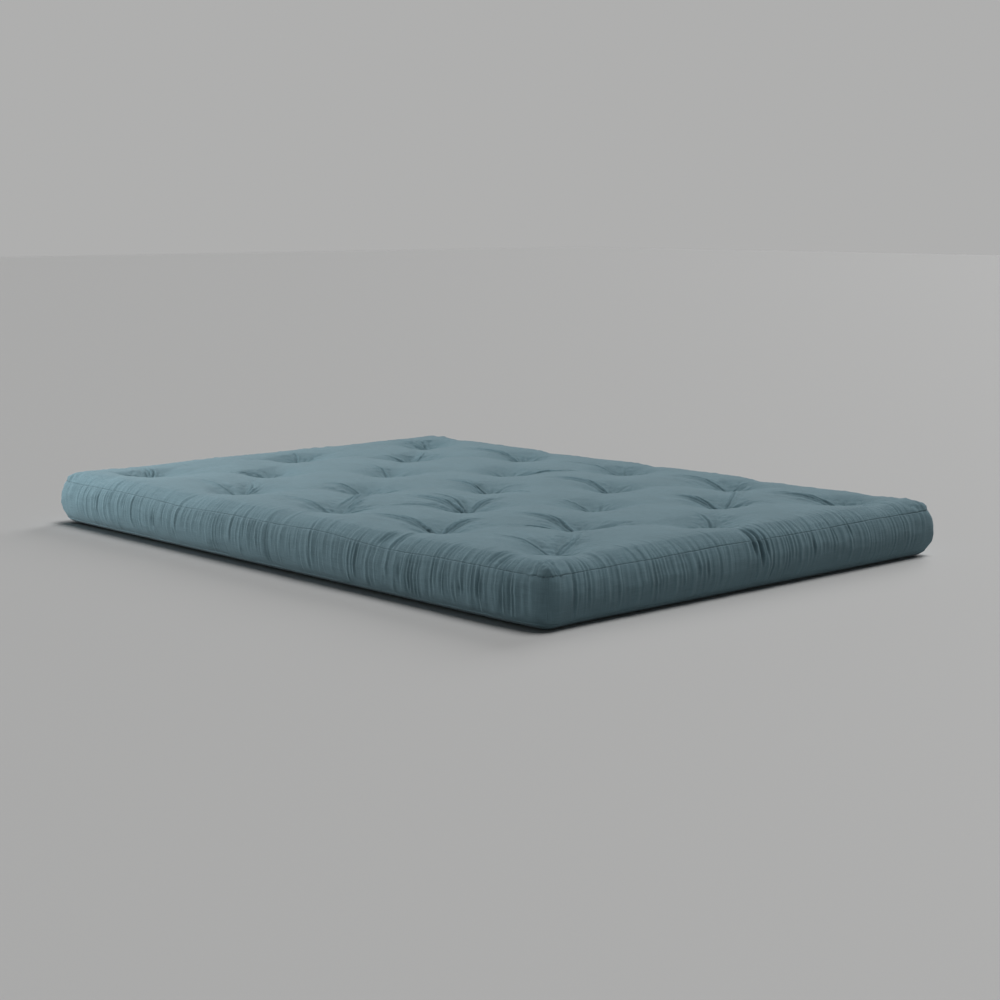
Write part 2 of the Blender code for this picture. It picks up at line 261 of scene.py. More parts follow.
def filling_height(x, y):
    """The filling's surface under the top panel: pillows that roll down to tufts and seams."""
    edge_x, edge_y = SEAM_HALF_X - np.abs(x), SEAM_HALF_Y - np.abs(y)
    steep = STEEP_SHARE + NOSE_SHARE * hill(np.hypot(edge_x, edge_y), 0, NOSE_REACH)
    rise_x = np.maximum(rise_from_seam(edge_x, steep), 1e-3)
    rise_y = np.maximum(rise_from_seam(edge_y, steep), 1e-3)
    rise = (rise_x ** -6 + rise_y ** -6 - 1) ** (-1 / 6)
    r = tuft_distance(x, y)
    drop = PIT_DEPTH * np.exp(-r / PIT_REACH) + DISH_DEPTH * hill(r, 0, DISH_REACH)
    valley = np.zeros(x.shape)
    first, last, fade = -.05, 1.1, .2      # shares of a valley's length
    for a, b, share in valleys():
        u, v = along_line(x, y, a, b)
        inside = smoothstep((u - first) / fade) * smoothstep((last - u) / fade)
        valley = np.maximum(valley, share * inside * hill(v, 0, VALLEY_WIDTH))
    drop += VALLEY_DEPTH * valley
    return SEAM_TOP + PILLOW_TOP * rise - drop * smoothstep(rise * 1.1)


def corner_radius(place, share):
    """The corners' radius in plan, at a share of the way from the top seam to the bottom seam."""
    worn = (place[..., 0] > 0) & (place[..., 1] < 0)
    low = np.where(worn, WORN_CORNER_RADIUS, LOW_CORNER_RADIUS)
    swell = np.where(worn, WORN_SWELL, CORNER_SWELL)
    return CORNER_RADIUS + (low - CORNER_RADIUS) * share - swell * math.sin(math.pi * share)


def push_corner(points):
    """Pushes the worn corner out of square."""
    away = np.hypot(points[..., 0] - HALF_LENGTH, points[..., 1] + HALF_WIDTH)
    share = hill(away, 0, WORN_REACH)[..., None]
    return points + share * np.array([*WORN_SHIFT, 0])


def base_cover(step, rows, edge_steps):
    """The top panel's grid, and one grid for each border, all meeting at the seams.

    A border's grid runs along its side, and from the top seam down to the bottom seam.
    """
    xs = stations(SEAM_HALF_X, COLUMNS, step, edge_steps)
    ys = stations(SEAM_HALF_Y, ROWS, step, edge_steps)
    gx, gy = np.meshgrid(xs, ys, indexing="ij")
    x, y = round_corner(gx, gy, SEAM_HALF_X, SEAM_HALF_Y, CORNER_RADIUS)
    top = np.stack([x, y, filling_height(gx, gy)], axis=2)
    square = rim_of(np.stack([gx / SEAM_HALF_X, gy / SEAM_HALF_Y], axis=2))
    border = []
    for share in np.linspace(0, 1, rows + 1):
        level = SEAM_TOP - BORDER_HEIGHT * share
        half_x, half_y = HALF_LENGTH - inset_at(level), HALF_WIDTH - inset_at(level)
        radius = corner_radius(square, share)
        x, y = round_corner(square[:, 0] * half_x, square[:, 1] * half_y, half_x, half_y, radius)
        border.append(np.stack([x, y, np.full(len(x), level)], axis=1))
    return xs, ys, top, np.stack(border, axis=1)


def simulate(top, border):
    """Lets the cover's cloth go: tied at the tufts and the bottom seam, and pushed out."""
    n, m = top.shape[:2]
    around, levels = border.shape[:2]
    index = np.arange(n * m).reshape(n, m)
    lower = n * m + np.arange(around * (levels - 1)).reshape(levels - 1, around)
    rings = np.concatenate([rim_of(index)[None], lower])
    quads = [all_cells(index).reshape(-1, 4)]
    for upper, under in zip(rings, rings[1:]):
        quads.append(np.stack([upper, under, np.roll(under, -1), np.roll(upper, -1)], axis=1))
    quads = np.concatenate(quads)
    points = np.concatenate([top.reshape(-1, 3),
                             border[:, 1:].transpose(1, 0, 2).reshape(-1, 3)])
    start = points + np.random.default_rng(5).normal(0, UNEVEN, points.shape)
    tied = [int(np.argmin(np.hypot(points[:n * m, 0] - x, points[:n * m, 1] - y)))
            for x, y in TUFTS]
    start[tied] = points[tied]

    mesh = bpy.data.meshes.new("cover_cloth")
    mesh.from_pydata(start.tolist(), [], quads.tolist())
    cover = add_object("cover_cloth", mesh)
    group = cover.vertex_groups.new(name="held")
    group.add(list(range(len(points))), HOLD, "REPLACE")
    group.add(tied + [int(i) for i in rings[-1]], 1.0, "REPLACE")

    spare = points.copy()
    spare[:, :2] *= 1 + FULLNESS
    cover.shape_key_add(name="Basis")
    key = cover.shape_key_add(name="cut")
    key.data.foreach_set("co", spare.astype(np.float32).reshape(-1))
    key.value = 0

    modifier = cover.modifiers.new("Cloth", "CLOTH")
    cloth = modifier.settings
    cloth.rest_shape_key = key
    cloth.quality = 6
    cloth.mass = .25
    cloth.tension_stiffness = cloth.compression_stiffness = 15
    cloth.shear_stiffness = 5
    cloth.bending_stiffness = .1
    cloth.tension_damping = cloth.compression_damping = cloth.shear_damping = 5
    cloth.bending_damping = .5
    cloth.air_damping = 2
    cloth.vertex_group_mass = "held"
    cloth.pin_stiffness = 1
    cloth.use_pressure = True
    cloth.uniform_pressure_force = PRESSURE
    cloth.effector_weights.gravity = 0
    modifier.point_cache.frame_start = 1
    modifier.point_cache.frame_end = SIM_FRAMES
    scene = bpy.context.scene
    scene.frame_start, scene.frame_end = 1, SIM_FRAMES
    for number in range(1, SIM_FRAMES + 1):
        scene.frame_set(number)
    settled = cover.evaluated_get(bpy.context.evaluated_depsgraph_get()).to_mesh()
    result = np.empty(len(points) * 3, np.float32)
    settled.vertices.foreach_get("co", result)
    result = result.reshape(-1, 3).astype(float)
    bpy.data.objects.remove(cover)
    bpy.data.meshes.remove(mesh)
    scene.frame_set(1)
    top = result[index]
    border = result[rings].transpose(1, 0, 2)
    return top, border


def border_sides(top, border):
    """Splits the ring of borders into its four sides, each from corner seam to corner seam."""
    n, m = top.shape[:2]
    ring = np.concatenate([border, border[:1]])
    ends = np.cumsum([0, n - 1, m - 1, n - 1, m - 1])
    return {side: ring[a:b + 1] for side, a, b in zip(SIDES, ends, ends[1:])}


def even_out(values, share, axis, passes=4):
    """Evens out the coarse gathers that the simulation leaves, by a share for each point."""
    for _ in range(passes):
        ahead, behind = np.roll(values, -1, axis), np.roll(values, 1, axis)
        inside = [slice(None)] * values.ndim
        inside[axis] = slice(1, -1)
        inside = tuple(inside)
        values = values.copy()
        values[inside] += (share * (ahead + behind - 2 * values))[inside] / 3
    return values


def resample(values, old, new, axis=0):
    """Smooth cubic interpolation of a grid onto new positions along one axis."""
    values = np.moveaxis(values, axis, 0)
    slope = np.gradient(values, old, axis=0)
    k = np.clip(np.searchsorted(old, new, side="right") - 1, 0, len(old) - 2)
    h = (old[k + 1] - old[k]).reshape((-1,) + (1,) * (values.ndim - 1))
    u = (new - old[k]).reshape(h.shape) / h
    a, b = values[k], values[k + 1]
    made = ((1 + 2 * u) * (1 - u) ** 2 * a + u * (1 - u) ** 2 * h * slope[k]
            + u * u * (3 - 2 * u) * b + u * u * (u - 1) * h * slope[k + 1])
    return np.moveaxis(made, 0, axis)


def normals_of(points):
    """Unit normals of a grid of points."""
    normal = np.cross(np.gradient(points, axis=0), np.gradient(points, axis=1))
    return normal / np.maximum(np.linalg.norm(normal, axis=2, keepdims=True), 1e-12)


# ---- Folds that the simulation is too coarse for ----
# Distances across a fold are in its own widths. Along a border, t is 0 at the bottom seam and 1
# at the top seam, and it goes on past 1 over the top panel.
SHARPNESS = 1.6                       # of a fold's valley (2 would be a bell)
RIDGES = dict(margin=.040, width=(.0040, .0095), size=.0014, most=.0028, spacing=(.018, .042))
VALLEYS = dict(margin=.036, width=(.0018, .0030), size=.00088, most=.0023,
               spacing=(.0085, .0195))
SIZE_SPREAD = 0.50
LEAN, LEAN_RATE = 0.0035, 8.7         # neighbouring folds lean together
SLANT, BOW = 0.0016, 0.0022           # and each goes a little its own way
FOLD_START, FOLD_END = (-.22, .45), (1.40, 2.05)       # in t
OVER_SEAM = (.25, 1.0)                # what is left of a fold above the seam


def valley_shape(across):
    return np.exp(-np.abs(across) ** SHARPNESS)


def fold(across, lip):
    """Depth across a fold: a narrow valley between two low lips."""
    lip_at, lip_width = 2.3, 1.1
    return valley_shape(across) - lip * hill(np.abs(across), lip_at, lip_width)


def pleat(across):
    """Depth across a pleat: a valley with a crisp crest on one side and an easy slope opposite."""
    slope, crest, swell = .6, .80, .15
    return (valley_shape(across * np.where(across < 0, slope, 1))
            - crest * hill(across, 1.9, .85) - swell * hill(across, -3.2, 1.2))


class Gathers:
    """Folds along one side, where s runs along the side."""

    def __init__(self, length, seed, deep=(), calm=()):
        rng = np.random.default_rng(seed)
        self.length = length
        self.phases = rng.uniform(0, 6.28, 3)
        self.calm = calm
        self.ridges = self.scatter(rng, RIDGES, lambda s: 1)
        self.valleys = self.scatter(rng, VALLEYS, self.busy)
        for at, width, depth, start, end in deep:
            self.valleys.append(dict(s=at, width=width, size=depth, slant=0, bow=.001,
                                     start=start, end=end, over=.9))

    def busy(self, s):
        """How deep the gathers are at a place: they come in bunches."""
        return .80 + .35 * np.sin(s * 9 + self.phases[0]) * np.sin(s * 23 + self.phases[1])

    def scatter(self, rng, kind, share):
        pieces = []
        s = kind["margin"] - self.length
        while s < self.length - kind["margin"]:
            width = rng.uniform(*kind["width"])
            size = min(kind["size"] * share(s) * rng.lognormal(0, SIZE_SPREAD), kind["most"])
            pieces.append(self.one(rng, s, width, size))
            s += rng.uniform(*kind["spacing"])
        return pieces

    def one(self, rng, s, width, size):
        for at, reach, share in self.calm:
            size *= 1 - share * math.exp(-((s - at) / reach) ** 2)
        lean = LEAN * math.sin(s * LEAN_RATE + self.phases[2])
        return dict(s=s, width=width, size=size, slant=lean + rng.normal(0, SLANT),
                    bow=rng.normal(0, BOW), start=rng.uniform(*FOLD_START),
                    end=rng.uniform(*FOLD_END), over=rng.uniform(*OVER_SEAM))

    def add(self, total, piece, s, t, shape):
        """Adds one fold's height: it leans, bows, widens away from the seam and fades out."""
        up, widening, reach = t - .6, .35, 4.2
        middle = piece["s"] + piece["slant"] * up * 2 + piece["bow"] * up ** 2 * 4
        across = (s - middle) / (piece["width"] * (1 + widening * np.abs(t - 1)))
        near = np.abs(across) < reach
        level = t[near]
        along = (smoothstep((level - piece["start"]) / .35)
                 * smoothstep((piece["end"] - level) / .50))
        along *= 1 - (1 - piece["over"]) * smoothstep((level - .97) / .16)
        total[near] += piece["size"] * shape(across[near]) * along

    def height(self, s, t):
        total = np.zeros(s.shape)
        for piece in self.ridges:
            self.add(total, piece, s, t, lambda across: np.exp(-across ** 2))
        for piece in self.valleys:
            self.add(total, piece, s, t, lambda across: -pleat(across))
        at_seam = 1 - .40 * hill(t, 1, .03)
        corner = smoothstep((self.length - np.abs(s) - .030) / .025)
        return total * at_seam * corner * smoothstep((t + .02) / .14)


# deep: the deepest folds, with the place along the side, width, depth, and t at both ends.
# calm: quieter stretches, with the place, the reach and the share of the depth that is lost.
GATHERS = {
    "front": Gathers(HALF_LENGTH, 11, deep=((-.79, .0026, .0045, .45, 1.05),
                                            (-.505, .0028, .0046, .20, .95),
                                            (.435, .0034, .0052, .90, 1.75),
                                            (.485, .0034, .0052, .90, 1.80),
                                            (.525, .0026, .0034, .25, 1.00),
                                            (.640, .0026, .0022, .30, 1.60),
                                            (.735, .0026, .0026, .20, .90),
                                            (.795, .0030, .0042, .20, 1.10),
                                            (.812, .0030, .0044, .85, 1.85),
                                            (.845, .0030, .0036, .85, 1.85),
                                            (.868, .0026, .0030, .02, 1.45),
                                            (.892, .0024, .0026, .00, 1.45),
                                            (.918, .0026, .0030, .00, 1.50),
                                            (.942, .0024, .0022, .05, 1.40))),
    "right": Gathers(HALF_WIDTH, 12, deep=((-.010, .0026, .0062, .60, 1.65),
                                           (.010, .0028, .0070, .35, 1.65),
                                           (.032, .0026, .0052, .45, 1.50),
                                           (.200, .0028, .0044, .40, 1.02),
                                           (-.605, .0030, .0028, .10, 1.45),
                                           (-.560, .0028, .0020, .10, 1.60),
                                           (-.210, .0028, .0036, .35, 1.05),
                                           (-.180, .0026, .0022, .25, 1.05),
                                           (.345, .0028, .0026, .55, 1.40)),
                     calm=((.50, .15, .60), (-.08, .05, .55))),
    "back": Gathers(HALF_LENGTH, 13, deep=((-.41, .0032, .0044, .20, 1.20),
                                           (.52, .0030, .0046, .30, 1.10))),
    "left": Gathers(HALF_WIDTH, 14, deep=((.26, .0032, .0044, .30, 1.35),)),
}

# Long creases: the tuft that each starts from, where it fades out, its depth and its strands.
LONG_CREASES = (
    (17, (.00, .25), 1.2, 2), (18, (.47, .25), 1.4, 2), (18, (.79, .35), .6, 1),
    (18, (.47, .50), .7, 1), (22, (.20, .53), .9, 1), (22, (.47, .62), .6, 1),
    (23, (.60, .47), 1.2, 2), (21, (-.20, .49), .5, 1), (20, (-.64, .49), .8, 2),
    (16, (-.01, .42), 1.0, 2), (15, (-.66, .38), .7, 1), (12, (-.15, .00), 1.2, 2),
    (12, (.25, .00), .7, 1), (13, (.31, -.03), .4, 1), (11, (-.56, .03), .5, 1),
    (10, (-.93, .05), .5, 1), (14, (.70, .08), .7, 1), (14, (.90, -.07), .6, 1),
    (8, (.01, -.20), 1.0, 1), (8, (.00, -.26), 1.3, 2), (8, (.11, -.43), 1.1, 1),
    (8, (.22, -.08), .9, 2), (3, (-.02, -.36), 1.1, 2), (2, (-.42, -.40), .7, 1),
    (9, (.41, -.25), 1.3, 2), (9, (.55, -.42), 1.0, 1), (9, (.78, -.16), .7, 1),
    (7, (-.33, -.29), .9, 1), (7, (.03, -.49), 1.4, 2), (7, (-.05, -.17), .7, 1),
    (6, (-.66, -.37), .6, 1), (6, (-.50, -.20), .5, 1), (4, (.17, -.53), 1.4, 2),
    (4, (.43, -.35), 1.5, 2), (4, (.56, -.58), .7, 1), (5, (.61, -.52), .7, 1),
    (5, (.72, -.33), .8, 2), (5, (.80, -.35), .9, 1), (2, (-.47, -.41), .9, 1),
    (2, (-.65, -.52), .5, 1), (3, (-.25, -.53), .5, 1), (3, (.14, -.44), .8, 1),
    (1, (-.92, -.49), .7, 2), (1, (-.74, -.56), .6, 1), (19, (-.92, .45), .5, 1))
CREASE_DEPTH, CREASE_WIDTH, CREASE_BOW = 0.0053, (.0021, .0032), (.010, .024)
STRAND_SPREAD = (.018, .028)          # how far apart a crease's strands end
SLACK_DEPTH, SLACK_WIDTH, SLACK_SIDE = 0.0022, (.008, .012), 0.04      # soft, beside a crease
TUFT_PLEATS = dict(reach=(.035, .100), size=(.0012, .0044), turn=(.28, .75), bend=1.8)
WORN_FOLD, CORNER_FOLD = 0.0050, 0.0018    # depth of the folds beside a corner's nose


def add_crease(depth, gx, gy, start, end, size, bow, width):
    """One crease that starts at full depth and fades out at its end."""
    u, v = along_line(gx, gy, start, end)
    near = (u > -.05) & (u < 1.02) & (np.abs(v - bow * np.sin(np.pi * u)) < 6 * width)
    u, v = u[near], v[near]
    across = (v - bow * np.sin(np.pi * np.clip(u, 0, 1))) / (width * (.80 + .35 * u))
    window = smoothstep((u - .02) / .10) * smoothstep((1 - u) / .60)
    depth[near] += size * window * fold(across, .5)


def corner_folds(gx, gy):
    """Two short folds on either side of each corner's nose, deepest at the worn corner."""
    depth = np.zeros(gx.shape)
    for x in (-SEAM_HALF_X, SEAM_HALF_X):
        for y in (-SEAM_HALF_Y, SEAM_HALF_Y):
            size = WORN_FOLD if x > 0 > y else CORNER_FOLD
            inward = np.array([-math.copysign(1, x), -math.copysign(1, y)])
            end = (x, y) + inward * .058
            for way, turn in (((.036, -.004), 1), ((-.004, .036), -1)):
                start = (x, y) + inward * way
                bow = math.copysign(.007, inward[0] * inward[1] * turn)
                add_crease(depth, gx, gy, start, end, size, bow, .0036)
    return depth


def creases(gx, gy):
    """Depth of the long creases, and of the short pleats that run into each tuft."""
    rng = np.random.default_rng(21)
    depth = np.zeros(gx.shape)
    for tuft, end, strength, strands in LONG_CREASES:
        start, end = TUFTS[tuft - 1], np.array(end)
        sideways = np.array([start[1] - end[1], end[0] - start[0]])
        sideways /= np.hypot(*sideways)
        bow = math.copysign(rng.uniform(*CREASE_BOW), sideways[1] - .3 * sideways[0])
        for strand in range(strands):
            offset = (strand - (strands - 1) / 2) * rng.uniform(*STRAND_SPREAD)
            add_crease(depth, gx, gy, start, end + sideways * offset,
                       CREASE_DEPTH * strength * (1 - .25 * strand), bow,
                       rng.uniform(*CREASE_WIDTH))
        add_crease(depth, gx, gy, start, end + sideways * rng.choice((-SLACK_SIDE, SLACK_SIDE)),
                   SLACK_DEPTH * min(strength, 1), bow, rng.uniform(*SLACK_WIDTH))
    for tx, ty in TUFTS:
        r = np.hypot(gx - tx, gy - ty)
        near = r < .13
        angle = np.arctan2(gy[near] - ty, gx[near] - tx)
        r = r[near]
        heading = rng.uniform(0, .5)
        while heading < 2 * np.pi:
            reach = rng.uniform(*TUFT_PLEATS["reach"])
            size = rng.uniform(*TUFT_PLEATS["size"])
            bend = rng.normal(0, TUFT_PLEATS["bend"]) * r
            turn = (angle - heading - bend + np.pi) % (2 * np.pi) - np.pi
            across = turn * r / (.0024 + .020 * r)
            window = smoothstep((r - .004) / .012) * smoothstep((reach - r) / (.75 * reach))
            depth[near] += size * window * fold(across, .4)
            heading += rng.uniform(*TUFT_PLEATS["turn"])
    return depth


# ---- The cover's surfaces ----
def settle_top(points, gx, gy):
    """Keeps the pillows to their height, and lets the seam rise and fall."""
    z = points[..., 2]
    z = np.where(z > TALLEST, TALLEST + (z - TALLEST) * ABOVE_KEPT, z)
    edge_x, edge_y = SEAM_HALF_X - np.abs(gx), SEAM_HALF_Y - np.abs(gy)
    worn = (gx > 0) & (gy < 0)
    z = z + (NOSE_LIFT * worn * smoothstep(np.minimum(edge_x, edge_y) / .007)
             * hill(np.hypot(edge_x, edge_y), 0, NOSE_REACH))
    z = z + (np.where(gy < 0, seam_wave("front", gx), seam_wave("back", gx))
             * np.exp(-(edge_y / SEAM_WAVE_REACH) ** 1.5)
             + np.where(gx > 0, seam_wave("right", gy), seam_wave("left", gy))
             * np.exp(-(edge_x / SEAM_WAVE_REACH) ** 1.5))
    return np.concatenate([points[..., :2], z[..., None]], axis=2)


def bed_tufts(points):
    """Lays each tuft's stitch in a small flat pit."""
    r = tuft_distance(points[..., 0], points[..., 1])
    free = smoothstep((r - .0055) / .014)
    points[..., 2] = PIT_TOP + (points[..., 2] - PIT_TOP) * free
    return points


def seam_groove(distance):
    return GROOVE_DEPTH * hill(distance, 0, GROOVE_WIDTH)


def top_surface(xs, ys, top):
    new_x = stations(SEAM_HALF_X, COLUMNS, PANEL_STEP, EDGE_STEPS)
    new_y = stations(SEAM_HALF_Y, ROWS, PANEL_STEP, EDGE_STEPS)
    near_x = smoothstep((np.abs(xs) - SEAM_HALF_X + .11) / .05)[:, None, None]
    near_y = smoothstep((np.abs(ys) - SEAM_HALF_Y + .11) / .05)[None, :, None]
    top = even_out(even_out(top, near_y * (1 - near_x), 0), near_x * (1 - near_y), 1)
    points = resample(resample(top, xs, new_x, 0), ys, new_y, 1)
    gx, gy = np.meshgrid(new_x, new_y, indexing="ij")
    points = push_corner(settle_top(points, gx, gy))
    normal = normals_of(points)
    edge_x, edge_y = SEAM_HALF_X - np.abs(gx), SEAM_HALF_Y - np.abs(gy)
    edge = np.minimum(edge_x, edge_y)
    lift = -creases(gx, gy) * smoothstep(edge / .07)
    for side, s, distance in (("front", gx, np.where(gy < 0, edge_y, np.inf)),
                              ("back", gx, np.where(gy > 0, edge_y, np.inf)),
                              ("right", gy, np.where(gx > 0, edge_x, np.inf)),
                              ("left", gy, np.where(gx < 0, edge_x, np.inf))):
        near = distance < .12
        lift[near] += GATHERS[side].height(s[near], 1 + distance[near] / BORDER_HEIGHT)
    lift -= corner_folds(gx, gy) + seam_groove(edge)
    points = bed_tufts(points + normal * lift[..., None])
    return points, gx, gy, lift


def border_surface(side, s_old, grid):
    """Points over one border, from the bottom seam up to the top seam."""
    half, lines = (SEAM_HALF_X, COLUMNS) if side in LONG_SIDES else (SEAM_HALF_Y, ROWS)
    sign = 1 if side in ("front", "right") else -1
    new_s = stations(half, lines, BORDER_STEP, EDGE_STEPS)
    t_old = np.linspace(1, 0, grid.shape[1])
    near_seam = np.array([0, .014, .030])
    t_new = 1 - np.concatenate([near_seam, np.linspace(.055, .945, BORDER_ROWS),
                                1 - near_seam[::-1]])
    points = resample(even_out(grid, .8, 0), s_old, new_s, 0)
    points = resample(points[:, ::-1], t_old[::-1], t_new[::-1], 1)
    s, t = np.meshgrid(new_s * sign, t_new[::-1], indexing="ij")
    points[..., 2] += seam_wave(side, s) * smoothstep(t)
    points = push_corner(points)
    normal = normals_of(points)
    lift = GATHERS[side].height(s, t)
    lift -= seam_groove(np.minimum(t, 1 - t) * BORDER_HEIGHT)
    lift -= seam_groove(half - np.abs(new_s)[:, None] + 0 * t)
    return points + normal * lift[..., None], s, t, lift


def underside_surface():
    half_x = HALF_LENGTH - float(inset_at(SEAM_BOTTOM))
    half_y = HALF_WIDTH - float(inset_at(SEAM_BOTTOM))
    xs = stations(half_x, COLUMNS, UNDERSIDE_STEP, FEW_EDGE_STEPS)
    ys = stations(half_y, ROWS, UNDERSIDE_STEP, FEW_EDGE_STEPS)[::-1]
    gx, gy = np.meshgrid(xs, ys, indexing="ij")
    radius = corner_radius(np.stack([gx, gy], axis=2), 1)
    x, y = round_corner(gx, gy, half_x, half_y, radius)
    fall = (shoulder(half_x - np.abs(gx), SEAM_BOTTOM)
            * shoulder(half_y - np.abs(gy), SEAM_BOTTOM))
    r = tuft_distance(gx, gy)
    z = SEAM_BOTTOM * (1 - fall) + PIT_BOTTOM * np.exp(-(np.clip(r - .006, 0, 1) / .032))
    return push_corner(np.stack([x, y, z], axis=2)), gx, gy


def tuck_edges(points, depth=.006):
    """Adds one row round the grid, turned in under the seam."""
    normal = normals_of(points)
    points = np.concatenate([points[:1] - normal[:1] * depth, points,
                             points[-1:] - normal[-1:] * depth])
    normal = np.concatenate([normal[:1], normal, normal[-1:]])
    return np.concatenate([points[:, :1] - normal[:, :1] * depth, points,
                           points[:, -1:] - normal[:, -1:] * depth], axis=1)


def pad_edges(values):
    return np.pad(values, 1, mode="edge")


# ---- Meshes ----
def grid_faces(n, m):
    return all_cells(np.arange(n * m).reshape(n, m)).reshape(-1, 4).tolist()


def busy_blocks(lift, x, y, band):
    """Which blocks of cells inside the band hold a fold or a tuft, or touch one that does."""
    inner = slice(band, -band - 1)
    shape = (np.array(lift[inner, inner].shape) // BLOCK).repeat(2)
    shape[1::2] = BLOCK
    low = lift[inner, inner].reshape(shape).min(axis=(1, 3))
    high = lift[inner, inner].reshape(shape).max(axis=(1, 3))
    near = tuft_distance(x, y)[inner, inner].reshape(shape).min(axis=(1, 3)) < BUSY_REACH
    busy = (high - low > BUSY_LIFT) | near
    grown = busy.copy()
    grown[1:] |= busy[:-1]
    grown[:-1] |= busy[1:]
    grown[:, 1:] |= busy[:, :-1]
    grown[:, :-1] |= busy[:, 1:]
    return grown


def graded_faces(n, m, band, busy):
    """Faces at the grid's own step in the band and the busy blocks, one to a block elsewhere."""
    index = np.arange(n * m).reshape(n, m)
    fine = np.ones((n - 1, m - 1), bool)
    fine[band:-band, band:-band] = np.kron(busy, np.ones((BLOCK, BLOCK), bool))
    faces = all_cells(index)[fine].tolist()
    around = np.pad(busy, 1, constant_values=True)
    steps = list(range(BLOCK))
    for i, j in np.argwhere(~busy):
        block = index[band + BLOCK * i:, band + BLOCK * j:][:BLOCK + 1, :BLOCK + 1]
        sides = ((block[:, 0], around[i + 1, j]), (block[-1], around[i + 2, j + 1]),
                 (block[::-1, -1], around[i + 1, j + 2]), (block[0, ::-1], around[i, j + 1]))
        face = []
        for side, beside_fine in sides:
            face += side[steps if beside_fine else steps[:1]].tolist()
        faces.append(face)
    return faces


def cloth_object(name, points, across, along, lift, faces):
    """One object from a grid of points, with its cloth coordinates as a UV map in metres."""
    sizes = np.array([len(face) for face in faces])
    corners = np.array([corner for face in faces for corner in face])
    used, corners = np.unique(corners, return_inverse=True)
    mesh = bpy.data.meshes.new(name)
    mesh.vertices.add(len(used))
    mesh.vertices.foreach_set("co", points.reshape(-1, 3)[used].reshape(-1).astype(np.float32))
    mesh.loops.add(len(corners))
    mesh.loops.foreach_set("vertex_index", corners.astype(np.int32))
    mesh.polygons.add(len(sizes))
    starts = np.concatenate([[0], np.cumsum(sizes)[:-1]])
    mesh.polygons.foreach_set("loop_start", starts.astype(np.int32))
    mesh.polygons.foreach_set("use_smooth", np.ones(len(sizes), bool))
    place = np.stack([across.reshape(-1)[used], along.reshape(-1)[used]], axis=1)[corners]
    mesh.uv_layers.new(name="cloth").data.foreach_set("uv", place.reshape(-1).astype(np.float32))
    # The folds' lift, which the cloth material also reads to paint shade into the creases.
    layer = mesh.attributes.new("lift", "FLOAT", "POINT")
    layer.data.foreach_set("value", lift.reshape(-1)[used].astype(np.float32))
    mesh.update(calc_edges=True)
    return add_object(name, mesh)


def add_piece(obj, material, replaced):
    obj.data.materials.append(material)
    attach(obj, "root")
    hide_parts(*replaced)
    return obj


# ---- Materials ----
class Shader:
    """A material with short calls for the nodes that it needs."""

    def __init__(self, name):
        self.material = bpy.data.materials.new(name)
        self.material.use_nodes = True
        self.nodes = self.material.node_tree.nodes
        self.links = self.material.node_tree.links
        self.main = self.nodes["Principled BSDF"]

    def add(self, kind, **inputs):
        node = self.nodes.new("ShaderNode" + kind)
        for key, value in inputs.items():
            self.set(node.inputs[key.replace("_", " ")], value)
        return node

    def set(self, socket, value):
        if isinstance(value, bpy.types.NodeSocket):
            self.links.new(value, socket)
        else:
            socket.default_value = value

    def math(self, operation, a, b=0.0):
        node = self.nodes.new("ShaderNodeMath")
        node.operation = operation
        self.set(node.inputs[0], a)
        self.set(node.inputs[1], b)
        return node.outputs[0]

    def blend(self, parts):
        """Sum of (value, weight) pairs."""
        total = None
        for value, weight in parts:
            value = self.math("MULTIPLY", value, weight)
            total = value if total is None else self.math("ADD", total, value)
        return total

    def noise(self, coordinates, scale, detail=2.0):
        mapping = self.add("Mapping", Vector=coordinates, Scale=scale)
        return self.add("TexNoise", Vector=mapping.outputs[0], Scale=1.0,
                        Detail=detail).outputs["Fac"]

    def ramp(self, value, stops):
        node = self.add("ValToRGB", Fac=value)
        elements = node.color_ramp.elements
        while len(elements) < len(stops):
            elements.new(.5)
        for element, (position, colour) in zip(elements, stops):
            element.position = position
            element.color = (*colour, 1)
        return node.outputs["Color"]

    def bump(self, height, distance, strength=1.0):
        node = self.add("Bump", Height=height, Distance=distance, Strength=strength)
        self.set(self.main.inputs["Normal"], node.outputs[0])


def shade(colour, amount):
    return tuple(c * amount for c in colour)


